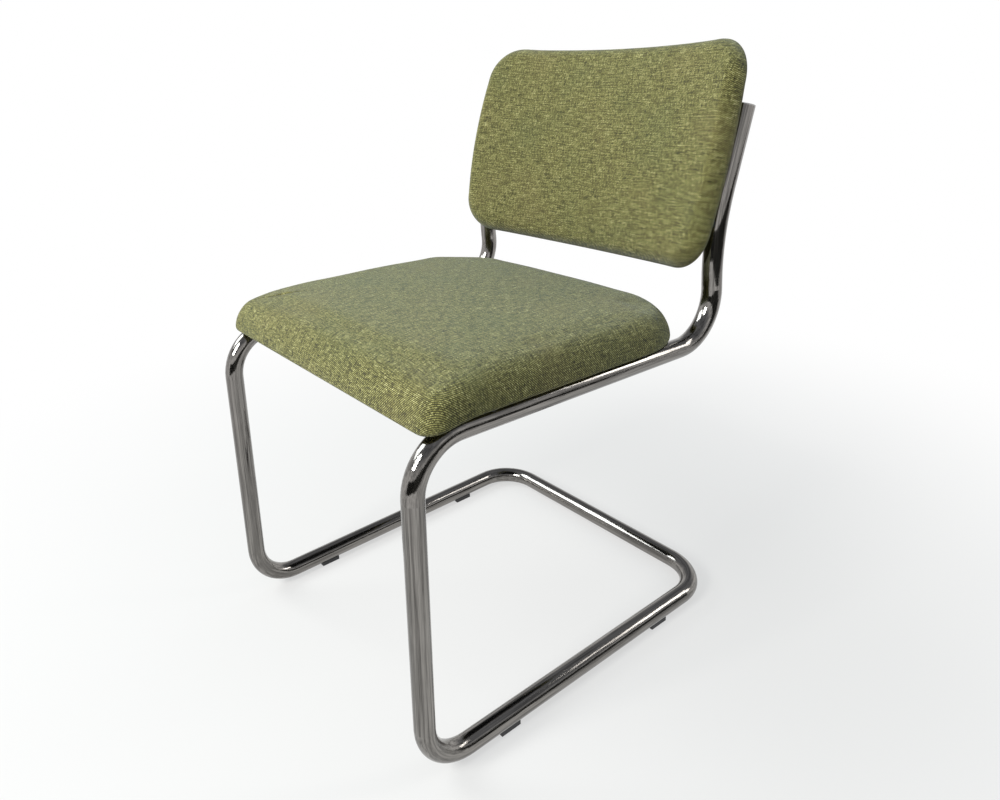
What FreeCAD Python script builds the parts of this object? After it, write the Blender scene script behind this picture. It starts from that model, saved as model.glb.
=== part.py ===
import FreeCAD, Part
import math
import os
import Sketcher
from FreeCAD import Placement, Rotation, Vector

# Cantilever dining chair: one bent steel tube carries an upholstered seat pad
# and an upholstered back pad. Millimetres, Z up, the sitter faces -Y.

doc = FreeCAD.newDocument("CantileverChair")

# Driving sizes

SIZES = [
    ("tube_diameter", 25.0, "outside diameter of the frame tube"),
    ("tube_wall", 2.0, "wall of the frame tube"),
    ("frame_width", 424.0, "between the centre lines of the two side tubes"),
    ("base_front", 217.2, "from the origin forward to where the floor runners start to bend up"),
    ("base_run", 401.2, "straight part of a floor runner"),
    ("rear_corner_radius", 60.0, "bend from a floor runner into the rear crossbar"),
    ("foot_radius", 60.0, "bend from a floor runner into a front leg"),
    ("leg_run", 285.3, "straight part of a front leg"),
    ("leg_lean", 0.8, "degrees that a front leg leans back"),
    ("knee_radius", 60.0, "bend from a front leg into a seat rail"),
    ("rail_run", 359.1, "straight part of a seat rail"),
    ("rail_slope", 2.1, "degrees that a seat rail falls to the rear"),
    ("hip_radius", 60.0, "bend from a seat rail into an upright"),
    ("upright_run", 5.6, "straight part of an upright below its gentle bend"),
    ("upright_lean", 5.5, "degrees that an upright first leans forward"),
    ("kink_radius", 300.0, "gentle bend that turns an upright back"),
    ("top_run", 100.0, "straight top of an upright"),
    ("top_lean", 17.8, "degrees that the top of an upright leans back"),
    ("seating_gap", 0.1, "clearance of a piece that is shaped to the tube"),
    ("glide_height", 3.0, "floor to the underside of the tube"),
    ("glide_length", 30.0, "length of a floor glide along the runner"),
    ("glide_width", 18.0, "width of a floor glide"),
    ("glide_wrap", 3.2, "how far a glide reaches up the side of the tube"),
    ("glide_inset", 60.0, "from the end of the runner's straight part to the middle of a glide"),
    ("peg_diameter", 6.0, "peg that holds a glide in the tube"),
    ("peg_reach", 4.0, "how far the peg stands inside the tube's wall"),
    ("cap_stem", 12.0, "length of an end cap inside the tube"),
    ("cap_rim", 1.5, "thickness of an end cap's disc"),
    ("bolt_diameter", 6.0, "shank of a pad bolt"),
    ("bolt_head_diameter", 11.0, "head of a pad bolt"),
    ("bolt_head_height", 3.3, "height of a pad bolt's countersunk head"),
    ("bolt_sink", 1.2, "how far a head lies below the crest of the tube"),
    ("bolt_socket", 4.6, "corner to corner size of the hexagon socket"),
    ("bolt_socket_depth", 2.2, "depth of the hexagon socket"),
    ("bolt_clearance", 0.3, "radial clearance of a bolt in the tube"),
    ("saddle_diameter", 17.0, "spacers between the tube and the pads"),
    ("saddle_depth", 3.6, "how far a spacer reaches round the tube"),
    ("nut_diameter", 8.0, "barrel of a tee nut"),
    ("nut_flange", 17.0, "flange of a tee nut"),
    ("nut_flange_thickness", 1.2, "thickness of a tee nut's flange"),
    ("nut_length", 8.0, "whole length of a tee nut"),
    ("nut_clearance", 0.1, "radial clearance of a tee nut and of its bore"),
    ("cloth", 1.2, "thickness of the upholstery cloth"),
    ("soft_clearance", 0.3, "clearance between soft pieces and what they lie on"),
    ("seat_side_reach", 22.5, "seat pad past the centre line of each side tube"),
    ("seat_depth", 440.0, "seat pad from front to rear"),
    ("seat_overhang", 53.5, "seat pad ahead of the straight part of the rails"),
    ("seat_height", 53.0, "seat pad from its underside to its crown"),
    ("seat_front_radius", 42.0, "plan radius of the seat pad's front corners"),
    ("seat_rear_radius", 110.0, "plan radius of the seat pad's rear corners"),
    ("seat_low_round", 11.0, "lower rounding of the seat pad's edge"),
    ("seat_top_round", 28.0, "upper rounding of the seat pad's edge"),
    ("seat_bow", 0.0, "how far the seat pad's sides bow outward"),
    ("droop_length", 70.0, "length of the seat pad's falling front"),
    ("droop_radius", 200.0, "radius of the seat pad's falling front"),
    ("seat_panel", 10.0, "thickness of the moulded seat panel"),
    ("seat_spacer", 1.9, "seat spacer at its thinnest"),
    ("seat_fold", 30.0, "width of the seat cover's fold under the panel"),
    ("seat_front_bolt", 40.0, "from the start of a rail's straight part to its front bolt"),
    ("seat_bolt_spacing", 240.0, "between the two bolts of a rail"),
    ("back_side_reach", 20.0, "back pad's corners past the centre line of each side tube"),
    ("back_height", 292.0, "back pad from its lower to its upper edge"),
    ("back_depth", 36.0, "back pad's thickness in the middle"),
    ("back_corner_radius", 68.0, "radius of the back pad's corners"),
    ("back_low_round", 8.0, "rear rounding of the back pad's edge"),
    ("back_top_round", 16.0, "front rounding of the back pad's edge"),
    ("back_bow", 4.6, "how far the back pad's sides bow outward"),
    ("back_curve", 650.0, "radius of the back pad's hollow, at its rear face"),
    ("back_drop", 66.0, "lower back bolt to the back pad's lower edge"),
    ("back_panel", 9.0, "thickness of the moulded back panel"),
    ("back_spacer", 4.0, "back spacer at its thinnest"),
    ("back_fold", 12.0, "width of the front cover's fold behind the panel"),
    ("back_upper_bolt", 28.0, "from the end of an upright to its upper bolt"),
    ("back_bolt_spacing", 117.0, "between the two bolts of an upright, along the tube"),
]

sheet = doc.addObject("Spreadsheet::Sheet", "Sizes")
for row, (alias, number, note) in enumerate(SIZES, 1):
    sheet.set("A%d" % row, alias)
    sheet.set("B%d" % row, str(number))
    sheet.set("C%d" % row, note)
    sheet.setAlias("B%d" % row, alias)
doc.recompute()


def size(alias):
    """The number that the sheet holds under this name."""
    return float(sheet.get(alias))


def bind(item, **formulas):
    """Ties properties to formulas of the sheet; a word in curly brackets is a name in the sheet."""
    for name, formula in formulas.items():
        path = name.replace("__", ".")
        item.setExpression(path, formula.replace("{", "Sizes.").replace("}", ""))


def origin_plane(body, role):
    """One of the body's own three planes."""
    for feature in body.Origin.OriginFeatures:
        if feature.Role == role:
            return feature
    raise RuntimeError("no plane " + role)


def sketch_on(body, name, role):
    """An empty sketch on one of the body's own planes."""
    sketch = body.newObject("Sketcher::SketchObject", name)
    sketch.AttachmentSupport = [(origin_plane(body, role), "")]
    sketch.MapMode = "FlatFace"
    return sketch


def new_body(name):
    body = doc.addObject("PartDesign::Body", name)
    body.Label = name
    return body


def end_at(sketch, geometry, point):
    """1 or 2: the end of this piece of geometry that lies at the point."""
    if (sketch.getPoint(geometry, 1) - point).Length < (sketch.getPoint(geometry, 2) - point).Length:
        return 1
    return 2


def name_last(sketch, name, formula):
    """Names the newest constraint and ties it to a formula of the sheet."""
    sketch.renameConstraint(sketch.ConstraintCount - 1, name)
    bind(sketch, **{"Constraints__" + name: formula})


# The tube's centre line, seen from the side: Y to the right and Z up

RUNS = [
    ("foot", "foot_radius", -1, "90 + {leg_lean}", "leg", "leg_run", "90 - {leg_lean}"),
    ("knee", "knee_radius", -1, "90 - {leg_lean} + {rail_slope}", "rail", "rail_run", "0 - {rail_slope}"),
    ("hip", "hip_radius", 1, "90 + {upright_lean} + {rail_slope}", "upright", "upright_run", "90 + {upright_lean}"),
    ("kink", "kink_radius", -1, "{upright_lean} + {top_lean}", "top", "top_run", "90 - {top_lean}"),
]
HEADINGS = {
    "leg": 90 - size("leg_lean"),
    "rail": 0 - size("rail_slope"),
    "upright": 90 + size("upright_lean"),
    "top": 90 - size("top_lean"),
}


def along(heading):
    """Unit vector in the side view for a heading in degrees from +Y towards +Z."""
    return Vector(math.cos(math.radians(heading)), math.sin(math.radians(heading)), 0)


def walk_tube():
    """Follows the centre line from the rear of a floor runner to the top of an upright.

    Returns, by name, each straight run as (start, end, heading) and each bend as (start, middle, end, centre).
    """
    point = Vector(-size("base_front") + size("base_run"), size("glide_height") + size("tube_diameter") / 2, 0)
    heading = 180.0
    end = point + along(heading) * size("base_run")
    found = {"runner": (point, end, heading)}
    point = end
    for bend, radius, side, _, run, length, _ in RUNS:
        turned = HEADINGS[run]
        reach = size(radius)
        centre = point + along(heading + side * 90) * reach
        swing = (turned - heading + 180) % 360 - 180
        middle = centre + along(heading - side * 90 + swing / 2) * reach
        end = centre + along(heading - side * 90 + swing) * reach
        found[bend] = (point, middle, end, centre)
        point = end
        heading = turned
        end = point + along(heading) * size(length)
        found[run] = (point, end, heading)
        point = end
    return found


TUBE = walk_tube()


def upright_point(drop):
    """The centre line a distance down from the top of an upright, and its heading there."""
    start, end, heading = TUBE["top"]
    if drop <= size("top_run"):
        return end - along(heading) * drop, heading
    centre = TUBE["kink"][3]
    swing = math.degrees((drop - size("top_run")) / size("kink_radius"))
    return centre + along(heading + swing + 90) * size("kink_radius"), heading + swing


def side_path(body):
    """The sketch of one side's centre line, from the floor runner to the top of the upright."""
    sketch = sketch_on(body, "SidePath", "YZ_Plane")
    bind(sketch, AttachmentOffset__Base__z="{frame_width} / 2")
    start, end, _ = TUBE["runner"]
    line = sketch.addGeometry(Part.LineSegment(start, end), False)
    sketch.addConstraint(Sketcher.Constraint("Horizontal", line))
    sketch.addConstraint(Sketcher.Constraint("DistanceX", -1, 1, line, 1, start.x))
    name_last(sketch, "runner_rear", "{base_run} - {base_front}")
    sketch.addConstraint(Sketcher.Constraint("DistanceY", -1, 1, line, 1, start.y))
    name_last(sketch, "runner_height", "{glide_height} + {tube_diameter} / 2")
    sketch.addConstraint(Sketcher.Constraint("Distance", line, (end - start).Length))
    name_last(sketch, "runner_run", "{base_run}")
    for bend, radius, _, _, run, length, heading in RUNS:
        first, middle, last, _ = TUBE[bend]
        arc = sketch.addGeometry(Part.Arc(first, middle, last), False)
        sketch.addConstraint(Sketcher.Constraint("Tangent", line, 2, arc, end_at(sketch, arc, first)))
        sketch.addConstraint(Sketcher.Constraint("Radius", arc, size(radius)))
        name_last(sketch, bend + "_bend", "{" + radius + "}")
        start, end, angle = TUBE[run]
        line = sketch.addGeometry(Part.LineSegment(start, end), False)
        sketch.addConstraint(Sketcher.Constraint("Tangent", arc, end_at(sketch, arc, last), line, 1))
        sketch.addConstraint(Sketcher.Constraint("Distance", line, (end - start).Length))
        name_last(sketch, run + "_straight", "{" + length + "}")
        sketch.addConstraint(Sketcher.Constraint("Angle", line, math.radians(angle)))
        name_last(sketch, run + "_heading", heading)
    return sketch


def rear_path(body):
    """The sketch of the rear floor corner and half of the crossbar, seen from above."""
    sketch = sketch_on(body, "RearPath", "XY_Plane")
    bind(sketch, AttachmentOffset__Base__z="{glide_height} + {tube_diameter} / 2")
    half = size("frame_width") / 2
    rear = size("base_run") - size("base_front")
    radius = size("rear_corner_radius")
    centre = Vector(half - radius, rear, 0)
    first = Vector(half, rear, 0)
    middle = centre + Vector(math.cos(math.pi / 4), math.sin(math.pi / 4), 0) * radius
    last = centre + Vector(0, radius, 0)
    arc = sketch.addGeometry(Part.Arc(first, middle, last), False)
    line = sketch.addGeometry(Part.LineSegment(last, Vector(0, last.y, 0)), False)
    sketch.addConstraint(Sketcher.Constraint("Tangent", arc, end_at(sketch, arc, last), line, 1))
    sketch.addConstraint(Sketcher.Constraint("Horizontal", line))
    sketch.addConstraint(Sketcher.Constraint("PointOnObject", line, 2, -2))
    sketch.addConstraint(Sketcher.Constraint("Radius", arc, radius))
    name_last(sketch, "corner", "{rear_corner_radius}")
    corner_end = end_at(sketch, arc, first)
    sketch.addConstraint(Sketcher.Constraint("DistanceX", -1, 1, arc, corner_end, half))
    name_last(sketch, "side", "{frame_width} / 2")
    sketch.addConstraint(Sketcher.Constraint("DistanceY", -1, 1, arc, corner_end, rear))
    name_last(sketch, "rear", "{base_run} - {base_front}")
    sketch.addConstraint(Sketcher.Constraint("Horizontal", arc, 3, arc, corner_end))
    return sketch


def bent_tube(name, outside, bore):
    """A body that follows the whole centre line; outside is the radius formula, bore is one or None."""
    body = new_body(name)
    profile = sketch_on(body, "Section", "XZ_Plane")
    bind(profile, AttachmentOffset__Base__z="{base_front} - {base_run}")
    middle = Vector(size("frame_width") / 2, size("glide_height") + size("tube_diameter") / 2, 0)
    circles = [("outside", outside, size("tube_diameter") / 2)]
    if bore:
        circles.append(("bore", bore, size("tube_diameter") / 2 - size("tube_wall")))
    for index, (label, formula, radius) in enumerate(circles):
        circle = profile.addGeometry(Part.Circle(middle, Vector(0, 0, 1), radius), False)
        profile.addConstraint(Sketcher.Constraint("Radius", circle, radius))
        name_last(profile, label, formula)
        if index:
            profile.addConstraint(Sketcher.Constraint("Coincident", 0, 3, circle, 3))
    profile.addConstraint(Sketcher.Constraint("DistanceX", -1, 1, 0, 3, middle.x))
    name_last(profile, "side", "{frame_width} / 2")
    profile.addConstraint(Sketcher.Constraint("DistanceY", -1, 1, 0, 3, middle.y))
    name_last(profile, "height", "{glide_height} + {tube_diameter} / 2")
    paths = [side_path(body), rear_path(body)]
    doc.recompute()
    pipes = []
    for path in paths:
        pipe = body.newObject("PartDesign::AdditivePipe", "Bent" + path.Name)
        pipe.Profile = profile
        pipe.Spine = (path, ["Edge%d" % (n + 1) for n in range(len(path.Geometry))])
        doc.recompute()
        pipes.append(pipe)
    mirrored = body.newObject("PartDesign::Mirrored", "OtherSide")
    mirrored.Originals = pipes
    mirrored.MirrorPlane = (origin_plane(body, "YZ_Plane"), [""])
    body.Tip = mirrored
    doc.recompute()
    return body


# Small helpers for turned and drilled pieces

def cylinder(name, radius, height, base="0"):
    """A cylinder on +Z; the radius, the height and the base's height are formulas of the sheet."""
    item = doc.addObject("Part::Cylinder", name)
    bind(item, Radius=radius, Height=height, Placement__Base__z=base)
    return item


def fused(name, items):
    item = doc.addObject("Part::MultiFuse", name)
    item.Shapes = items
    return item


def cut(name, base, tool):
    item = doc.addObject("Part::Cut", name)
    item.Base = base
    item.Tool = tool
    return item


def copies(name, master, placements):
    """One group of equal pieces, each a link to the master."""
    links = []
    for count, placement in enumerate(placements, 1):
        link = doc.addObject("App::Link", "%s_%d" % (name, count))
        link.LinkedObject = master
        link.LinkTransform = True
        link.Placement = placement
        links.append(link)
    group = doc.addObject("Part::Compound", name)
    group.Links = links
    return group


# Frame of the seat: Y runs along the rails, Z is square to them, the origin is where
# the straight part of the rails starts, midway between them

rail_start = TUBE["rail"][0]
SEAT_PLACE = Placement(Vector(0, rail_start.x, rail_start.y), Rotation(Vector(1, 0, 0), -size("rail_slope")))
seat_underside = size("tube_diameter") / 2 + size("seat_spacer") + size("soft_clearance")
PAD_PLACE = SEAT_PLACE * Placement(Vector(0, -size("seat_overhang"), seat_underside), Rotation())

# Frame of the back: Z runs up through the two bolts of the uprights, Y to the rear,
# the origin is the middle of the pad's lower edge on its rear face

upper_bolt = upright_point(size("back_upper_bolt"))[0]
lower_bolt = upright_point(size("back_upper_bolt") + size("back_bolt_spacing"))[0]
chord = upper_bolt - lower_bolt
back_lean = math.degrees(math.atan2(chord.x, chord.y))
reach = size("tube_diameter") / 2 + size("back_spacer") + size("soft_clearance")
# how far the tubes stand behind the pad's rear face, in the middle plane
behind = math.sqrt((size("back_curve") + reach) ** 2 - (size("frame_width") / 2) ** 2) - size("back_curve")
back_turn = Rotation(Vector(1, 0, 0), -back_lean)
back_origin = Vector(0, lower_bolt.x, lower_bolt.y)
back_origin += back_turn.multVec(Vector(0, -behind, -size("back_drop")))
BACK_PLACE = Placement(back_origin, back_turn)


# Places of the bolts: the origin is on the tube's centre line and Z points into the pad

def seat_bolt_places():
    places = []
    for side in (-1, 1):
        for distance in (size("seat_front_bolt"), size("seat_front_bolt") + size("seat_bolt_spacing")):
            spot = Vector(side * size("frame_width") / 2, distance, 0)
            places.append(SEAT_PLACE * Placement(spot, Rotation()))
    return places


def back_bolt_places():
    places = []
    for side in (-1, 1):
        for height in (size("back_drop"), size("back_drop") + chord.Length):
            spot = Vector(side * size("frame_width") / 2, behind, height)
            inward = Vector(-spot.x, -size("back_curve") - behind, 0).normalize()
            turn = Rotation(Vector(), Vector(0, 0, 1), inward, "ZYX")
            places.append(BACK_PLACE * Placement(spot, turn))
    return places


def end_places():
    """The open ends of the uprights, Z along the tube."""
    _, end, heading = TUBE["top"]
    turn = Rotation(Vector(1, 0, 0), heading - 90)
    return [Placement(Vector(side * size("frame_width") / 2, end.x, end.y), turn) for side in (-1, 1)]


def glide_places(rear):
    front_end = -size("base_front") + size("glide_inset")
    rear_end = -size("base_front") + size("base_run") - size("glide_inset")
    spot = rear_end if rear else front_end
    return [Placement(Vector(side * size("frame_width") / 2, spot, 0), Rotation()) for side in (-1, 1)]


# The bent tube and the room that the pieces seated on it leave for it

tube_body = bent_tube("TubeBent", "{tube_diameter} / 2", "{tube_diameter} / 2 - {tube_wall}")
tube_room = bent_tube("TubeRoom", "{tube_diameter} / 2 + {seating_gap}", None)

HEAD_FACE = "({tube_diameter} / 2 - {bolt_sink})"


def countersink(name, widened):
    """The cone of a bolt's head, with its wide face towards -Z; widened is a formula of a clearance."""
    cone = doc.addObject("Part::Cone", name)
    bind(cone, Radius1="{bolt_head_diameter} / 2 + " + widened, Radius2="{bolt_diameter} / 2 + " + widened,
         Height="{bolt_head_height}", Placement__Base__z="0 - " + HEAD_FACE)
    return cone


tube_drill = fused("TubeDrill", [
    cylinder("ShankHole", "{bolt_diameter} / 2 + {bolt_clearance}", "{tube_diameter} + 4",
             "0 - {tube_diameter} / 2 - 2"),
    countersink("HeadSeat", "{bolt_clearance}"),
    cylinder("HeadMouth", "{bolt_head_diameter} / 2 + {bolt_clearance}", "{bolt_sink} + 2",
             "0 - {tube_diameter} / 2 - 2"),
])
peg_drill = cylinder("PegDrill", "{peg_diameter} / 2 + {seating_gap}", "{tube_wall} + 4", "{glide_height} - 2")
drills = fused("TubeDrills", [
    copies("BoltDrills", tube_drill, seat_bolt_places() + back_bolt_places()),
    copies("PegDrills", peg_drill, glide_places(False) + glide_places(True)),
])
frame_tube = cut("frame_tube", tube_body, drills)

# Caps that close the two ends of the tube

cap = fused("EndCap", [
    cylinder("CapStem", "{tube_diameter} / 2 - {tube_wall} - {seating_gap}", "{cap_stem}", "0 - {cap_stem}"),
    cylinder("CapRim", "{tube_diameter} / 2", "{cap_rim}"),
])
end_caps = copies("end_caps", cap, end_places())

# Floor glides: a block shaped to the tube, with a peg through the tube's wall

glide_block = doc.addObject("Part::Box", "GlideBlock")
bind(glide_block, Length="{glide_width}", Width="{glide_length}", Height="{glide_height} + {glide_wrap}",
     Placement__Base__x="0 - {glide_width} / 2", Placement__Base__y="0 - {glide_length} / 2")
glide_peg = cylinder("GlidePeg", "{peg_diameter} / 2", "{tube_wall} + {peg_reach} + {glide_height} / 2",
                     "{glide_height} / 2")


def glides(name, rear):
    blocks = cut(name + "Blocks", copies(name + "Boxes", glide_block, glide_places(rear)), tube_room)
    return fused(name, [blocks, copies(name + "Pegs", glide_peg, glide_places(rear))])


front_glides = glides("front_glides", False)
rear_glides = glides("rear_glides", True)


# Countersunk bolts, spacers and tee nuts, for the seat and for the back

def fasteners(part, places):
    """The three node groups that hold one pad, and what drills the pad's panel and cloth for them."""
    face = "({tube_diameter} / 2 + {" + part + "_spacer} + {soft_clearance})"
    panel_low = "(" + face + " + {cloth} + {soft_clearance})"
    panel_top = "(" + panel_low + " + {" + part + "_panel})"
    shank = cylinder(part + "Shank", "{bolt_diameter} / 2", panel_top + " - 0.5 + " + HEAD_FACE, "0 - " + HEAD_FACE)
    socket = doc.addObject("Part::Prism", part + "Socket")
    socket.Polygon = 6
    bind(socket, Circumradius="{bolt_socket} / 2", Height="{bolt_socket_depth}",
         Placement__Base__z="0 - " + HEAD_FACE)
    blank = fused(part + "BoltBlank", [shank, countersink(part + "Head", "0")])
    bolt = cut(part + "Bolt", blank, socket)
    hole = cylinder(part + "SpacerHole", "{bolt_diameter} / 2 + {bolt_clearance}", "4 * {tube_diameter}")
    disc = cylinder(part + "SpacerDisc", "{saddle_diameter} / 2", "{" + part + "_spacer} + {saddle_depth}",
                    "{tube_diameter} / 2 - {saddle_depth}")
    spacer = cut(part + "Spacer", disc, hole)
    barrel = cylinder(part + "Barrel", "{nut_diameter} / 2", "{nut_length}", panel_top + " - {nut_length}")
    flange = cylinder(part + "Flange", "{nut_flange} / 2", "{nut_flange_thickness}",
                      panel_top + " - {nut_flange_thickness}")
    bore = cylinder(part + "NutBore", "{bolt_diameter} / 2 + {nut_clearance}", "4 * {tube_diameter}")
    nut = cut(part + "Nut", fused(part + "NutBlank", [barrel, flange]), bore)
    panel_drill = fused(part + "PanelDrill", [
        cylinder(part + "BarrelHole", "{nut_diameter} / 2 + {nut_clearance}", "4 * {tube_diameter}"),
        cylinder(part + "FlangeSeat", "{nut_flange} / 2 + {nut_clearance}",
                 "{nut_flange_thickness} + {nut_clearance} + 5",
                 panel_top + " - {nut_flange_thickness} - {nut_clearance}"),
    ])
    cloth_drill = cylinder(part + "ClothHole", "{bolt_diameter} / 2 + {soft_clearance}",
                           "{cloth} + {soft_clearance} + 2", face + " - 2")
    copies(part + "_bolts", bolt, places)
    cut(part + "_spacers", copies(part + "SpacerDiscs", spacer, places), tube_room)
    copies(part + "_tee_nuts", nut, places)
    return copies(part + "PanelDrills", panel_drill, places), copies(part + "ClothDrills", cloth_drill, places)


seat_panel_drills, seat_cloth_drills = fasteners("seat", seat_bolt_places())
back_panel_drills, back_cloth_drills = fasteners("back", back_bolt_places())


# The pads' widths follow the frame's, as pairs of a number and a formula

SEAT_WIDTH = (size("frame_width") + 2 * size("seat_side_reach"), "({frame_width} + 2 * {seat_side_reach})")
BACK_WIDTH = (size("frame_width") + 2 * size("back_side_reach"), "({frame_width} + 2 * {back_side_reach})")


# Slabs that follow the seat's underside: level, then falling along an arc to the front.
# Z is measured from the underside of the cover.

def round_corners(body, pad, thickness, ends):
    """Rounds the corner edges of a slab, which run through its thickness.

    ends lists, for each end, a test of the edge's middle and the formula of the radius.
    """
    for count, (at_this_end, formula) in enumerate(ends, 1):
        names = []
        for number, edge in enumerate(pad.Shape.Edges, 1):
            through = edge.Curve.TypeId == "Part::GeomLine" and abs(edge.Length - thickness) < 1e-6
            if through and at_this_end(edge.CenterOfMass):
                names.append("Edge%d" % number)
        fillet = body.newObject("PartDesign::Fillet", "Corners%d" % count)
        fillet.Base = (pad, names)
        bind(fillet, Radius=formula)
        doc.recompute()
        pad = fillet
    body.Tip = pad
    return body


def seat_slab(name, low, high, side):
    """A slab of the seat between two heights, set in from the pad's outline by side.

    low, high and side are pairs of a number and a formula.
    """
    body = new_body(name)
    sketch = sketch_on(body, "Profile", "YZ_Plane")
    rear = size("seat_depth") - side[0]
    turn = size("droop_length")
    fall = size("droop_radius")
    centre = Vector(turn, -fall, 0)
    front_angle = math.asin((turn - side[0]) / (fall + low[0]))

    def on_arc(height, angle):
        return centre + Vector(-math.sin(angle), math.cos(angle), 0) * (fall + height)

    corners = [Vector(rear, low[0], 0), Vector(turn, low[0], 0), on_arc(low[0], front_angle),
               on_arc(high[0], front_angle), Vector(turn, high[0], 0), Vector(rear, high[0], 0)]
    under = sketch.addGeometry(Part.LineSegment(corners[0], corners[1]), False)
    lower = sketch.addGeometry(Part.Arc(corners[1], on_arc(low[0], front_angle / 2), corners[2]), False)
    front = sketch.addGeometry(Part.LineSegment(corners[2], corners[3]), False)
    upper = sketch.addGeometry(Part.Arc(corners[3], on_arc(high[0], front_angle / 2), corners[4]), False)
    over = sketch.addGeometry(Part.LineSegment(corners[4], corners[5]), False)
    back = sketch.addGeometry(Part.LineSegment(corners[5], corners[0]), False)
    for first, first_end, second, second_end in (
        (lower, end_at(sketch, lower, corners[2]), front, 1),
        (front, 2, upper, end_at(sketch, upper, corners[3])),
        (over, 2, back, 1),
        (back, 2, under, 1),
    ):
        sketch.addConstraint(Sketcher.Constraint("Coincident", first, first_end, second, second_end))
    sketch.addConstraint(Sketcher.Constraint("Tangent", under, 2, lower, end_at(sketch, lower, corners[1])))
    sketch.addConstraint(Sketcher.Constraint("Tangent", upper, end_at(sketch, upper, corners[4]), over, 1))
    sketch.addConstraint(Sketcher.Constraint("Coincident", lower, 3, upper, 3))
    sketch.addConstraint(Sketcher.Constraint("PointOnObject", lower, 3, front))
    sketch.addConstraint(Sketcher.Constraint("Horizontal", under))
    sketch.addConstraint(Sketcher.Constraint("Vertical", back))
    sketch.addConstraint(Sketcher.Constraint("DistanceX", -1, 1, lower, 3, turn))
    name_last(sketch, "turn", "{droop_length}")
    sketch.addConstraint(Sketcher.Constraint("DistanceY", lower, 3, -1, 1, fall))
    name_last(sketch, "fall", "{droop_radius}")
    sketch.addConstraint(Sketcher.Constraint("DistanceY", -1, 1, under, 1, low[0]))
    name_last(sketch, "low", low[1])
    sketch.addConstraint(Sketcher.Constraint("DistanceY", -1, 1, over, 2, high[0]))
    name_last(sketch, "high", high[1])
    sketch.addConstraint(Sketcher.Constraint("DistanceX", -1, 1, under, 1, rear))
    name_last(sketch, "rear", "{seat_depth} - " + side[1])
    sketch.addConstraint(Sketcher.Constraint("DistanceX", -1, 1, front, 1, side[0]))
    name_last(sketch, "front", side[1])
    pad = body.newObject("PartDesign::Pad", "Slab")
    pad.Profile = sketch
    pad.Midplane = True
    bind(pad, Length=SEAT_WIDTH[1] + " - 2 * " + side[1])
    doc.recompute()
    middle = size("seat_depth") / 2
    round_corners(body, pad, high[0] - low[0], [
        (lambda spot: spot.y < middle, "{seat_front_radius} - " + side[1]),
        (lambda spot: spot.y > middle, "{seat_rear_radius} - " + side[1]),
    ])
    body.Placement = PAD_PLACE
    return body


def back_slab(name, low, high, side):
    """A slab of the back between two distances from its rear face, set in from the outline by side."""
    body = new_body(name + "Arc")
    sketch = sketch_on(body, "Profile", "XY_Plane")
    curve = size("back_curve")
    centre = Vector(0, -curve, 0)
    half_angle = BACK_WIDTH[0] / 2 / curve

    def on_arc(depth, angle):
        return centre + Vector(math.sin(angle), math.cos(angle), 0) * (curve - depth)

    arcs = []
    for depth, formula, label in ((low[0], low[1], "rear"), (high[0], high[1], "front")):
        ends = [on_arc(depth, -half_angle), on_arc(depth, 0), on_arc(depth, half_angle)]
        arc = sketch.addGeometry(Part.Arc(*ends), False)
        sketch.addConstraint(Sketcher.Constraint("Radius", arc, curve - depth))
        name_last(sketch, label, "{back_curve} - " + formula)
        arcs.append((arc, ends[0], ends[2]))
    for index in (1, 2):
        rear_end = end_at(sketch, arcs[0][0], arcs[0][index])
        front_end = end_at(sketch, arcs[1][0], arcs[1][index])
        line = sketch.addGeometry(Part.LineSegment(arcs[0][index], arcs[1][index]), False)
        sketch.addConstraint(Sketcher.Constraint("Coincident", arcs[0][0], rear_end, line, 1))
        sketch.addConstraint(Sketcher.Constraint("Coincident", arcs[1][0], front_end, line, 2))
        sketch.addConstraint(Sketcher.Constraint("PointOnObject", arcs[0][0], 3, line))
    rear_ends = [end_at(sketch, arcs[0][0], arcs[0][index]) for index in (1, 2)]
    sketch.addConstraint(Sketcher.Constraint("Coincident", arcs[0][0], 3, arcs[1][0], 3))
    sketch.addConstraint(Sketcher.Constraint("PointOnObject", arcs[0][0], 3, -2))
    sketch.addConstraint(Sketcher.Constraint("DistanceY", arcs[0][0], 3, -1, 1, curve))
    name_last(sketch, "centre", "{back_curve}")
    sketch.addConstraint(Sketcher.Constraint("Symmetric", arcs[0][0], rear_ends[0], arcs[0][0], rear_ends[1], -2))
    width = 2 * (curve - low[0]) * math.sin(half_angle)
    sketch.addConstraint(Sketcher.Constraint("Distance", arcs[0][0], rear_ends[0], arcs[0][0], rear_ends[1], width))
    half = BACK_WIDTH[1] + " / 2 / {back_curve} * 180 / pi"
    name_last(sketch, "width", "2 * ({back_curve} - " + low[1] + ") * sin(" + half + ")")
    pad = body.newObject("PartDesign::Pad", "Slab")
    pad.Profile = sketch
    bind(pad, Length="{back_height}")
    body.Tip = pad
    # the slab's rounded outline, seen from the front
    outline = new_body(name + "Outline")
    block = outline.newObject("PartDesign::AdditiveBox", "Block")
    half = "({back_curve} * sin((" + BACK_WIDTH[1] + " / 2 - " + side[1] + ") / {back_curve} * 180 / pi))"
    bind(block, Length="2 * " + half, Width="{back_curve}", Height="{back_height} - 2 * " + side[1],
         Placement__Base__x="0 - " + half, Placement__Base__y="0 - {back_curve} / 2", Placement__Base__z=side[1])
    doc.recompute()
    round_corners(outline, block, curve, [(lambda spot: True, "{back_corner_radius} - " + side[1])])
    body.Placement = BACK_PLACE
    outline.Placement = BACK_PLACE
    slab = doc.addObject("Part::Common", name)
    slab.Base = body
    slab.Tool = outline
    return slab


# The panels, with the room that the foam leaves for them, and the cloths that close
# the pads' hidden faces inside the covers' folds

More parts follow.
